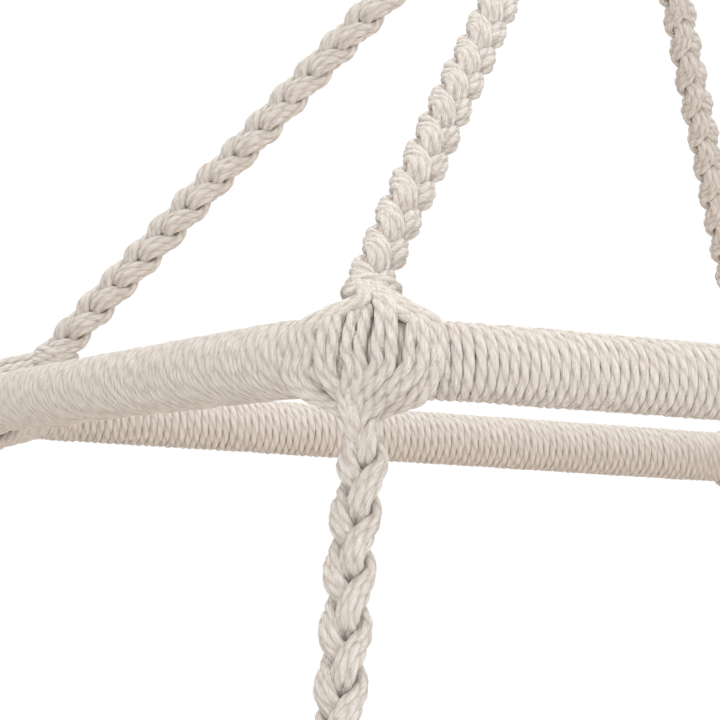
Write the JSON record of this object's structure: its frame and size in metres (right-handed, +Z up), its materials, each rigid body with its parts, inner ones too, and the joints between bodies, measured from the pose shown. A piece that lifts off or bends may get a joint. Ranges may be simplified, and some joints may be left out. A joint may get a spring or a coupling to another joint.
{
  "type": "hanging macrame planter",
  "caption": "Hanging macrame planter: ring, braids spreading to a rope-wrapped square cane frame, and lower braids to a wider wrapped frame with a pot board and tassels.",
  "frame": {"origin": "the point where the ring's inner top rests on its hook", "axes": "+Z up; +X along the frames' front side; the front faces -Y; the ring stands in the XZ plane"},
  "size_m": [0.558, 0.558, 0.9895],
  "materials": {
    "wrapping_rope": "natural three-ply twisted cotton, matt",
    "knot_rope": "natural three-ply twisted cotton, matt",
    "braid_rope": "natural three-ply twisted cotton, braided, matt",
    "tassel_cotton": "combed natural cotton ends, matt",
    "frame_cane": "raw rattan cane",
    "board_wood": "oiled pale wood, satin",
    "ring_steel": "satin"
  },
  "bodies": {
    "ring": {"hanging_ring": "ring_steel"},
    "hanger": {"cord_loops": "braid_rope", "gathering_wrap": "braid_rope", "upper_frame_cane": "frame_cane", "upper_frame_wrap_front": "wrapping_rope", "upper_frame_wrap_right": "wrapping_rope", "upper_frame_wrap_back": "wrapping_rope", "upper_frame_wrap_left": "wrapping_rope", "upper_braid_front_left": "braid_rope", "upper_braid_front_right": "braid_rope", "upper_braid_back_right": "braid_rope", "upper_braid_back_left": "braid_rope", "upper_knot_front_left": "knot_rope", "upper_knot_front_right": "knot_rope", "upper_knot_back_right": "knot_rope", "upper_knot_back_left": "knot_rope"},
    "braid_front_left": {"lower_braid_front_left": "braid_rope"},
    "braid_front_right": {"lower_braid_front_right": "braid_rope"},
    "braid_back_right": {"lower_braid_back_right": "braid_rope"},
    "braid_back_left": {"lower_braid_back_left": "braid_rope"},
    "tier": {"lower_frame_cane": "frame_cane", "pot_board": "board_wood", "lower_frame_wrap_front": "wrapping_rope", "lower_frame_wrap_right": "wrapping_rope", "lower_frame_wrap_back": "wrapping_rope", "lower_frame_wrap_left": "wrapping_rope", "lower_knot_front_left": "knot_rope", "lower_knot_front_right": "knot_rope", "lower_knot_back_right": "knot_rope", "lower_knot_back_left": "knot_rope"},
    "tassel_front_left": {"tassel_front_left": "tassel_cotton", "tassel_tie_front_left": "tassel_cotton"},
    "tassel_front_right": {"tassel_front_right": "tassel_cotton", "tassel_tie_front_right": "tassel_cotton"},
    "tassel_back_right": {"tassel_back_right": "tassel_cotton", "tassel_tie_back_right": "tassel_cotton"},
    "tassel_back_left": {"tassel_back_left": "tassel_cotton", "tassel_tie_back_left": "tassel_cotton"}
  },
  "joints": [
    {"name": "hanger_swing", "type": "hinge", "parent": "ring", "child": "hanger", "pos_m": [0, 0, -0.06], "axis": [1, 0, 0], "range_deg": [-25, 25]},
    {"name": "braid_sway_front_left", "type": "hinge", "parent": "hanger", "child": "braid_front_left", "pos_m": [-0.22585, -0.22585, -0.46311], "axis": [0, 1, 0], "range_deg": [-12, 12]},
    {"name": "braid_sway_front_right", "type": "hinge", "parent": "hanger", "child": "braid_front_right", "pos_m": [0.22585, -0.22585, -0.46311], "axis": [0, 1, 0], "range_deg": [-12, 12]},
    {"name": "braid_sway_back_right", "type": "hinge", "parent": "hanger", "child": "braid_back_right", "pos_m": [0.22585, 0.22585, -0.46311], "axis": [0, 1, 0], "range_deg": [-12, 12]},
    {"name": "braid_sway_back_left", "type": "hinge", "parent": "hanger", "child": "braid_back_left", "pos_m": [-0.22585, 0.22585, -0.46311], "axis": [0, 1, 0], "range_deg": [-12, 12]},
    {"name": "tier_level", "type": "hinge", "parent": "braid_front_left", "child": "tier", "pos_m": [-0.24584, -0.24584, -0.78292], "axis": [0, 1, 0], "range_deg": [-11.2, 11.2]},
    {"name": "tassel_swing_front_left", "type": "hinge", "parent": "tier", "child": "tassel_front_left", "pos_m": [-0.2486, -0.2486, -0.8615], "axis": [1, 0, 0], "range_deg": [-30, 30]},
    {"name": "tassel_swing_front_right", "type": "hinge", "parent": "tier", "child": "tassel_front_right", "pos_m": [0.2486, -0.2486, -0.8615], "axis": [1, 0, 0], "range_deg": [-30, 30]},
    {"name": "tassel_swing_back_right", "type": "hinge", "parent": "tier", "child": "tassel_back_right", "pos_m": [0.2486, 0.2486, -0.8615], "axis": [1, 0, 0], "range_deg": [-30, 30]},
    {"name": "tassel_swing_back_left", "type": "hinge", "parent": "tier", "child": "tassel_back_left", "pos_m": [-0.2486, 0.2486, -0.8615], "axis": [1, 0, 0], "range_deg": [-30, 30]}
  ],
  "couplings": [
    {"joint": "braid_sway_front_right", "follows": "braid_sway_front_left", "ratio": 1},
    {"joint": "braid_sway_back_right", "follows": "braid_sway_front_left", "ratio": 1},
    {"joint": "braid_sway_back_left", "follows": "braid_sway_front_left", "ratio": 1},
    {"joint": "tier_level", "follows": "braid_sway_front_left", "ratio": -0.91869}
  ]
}
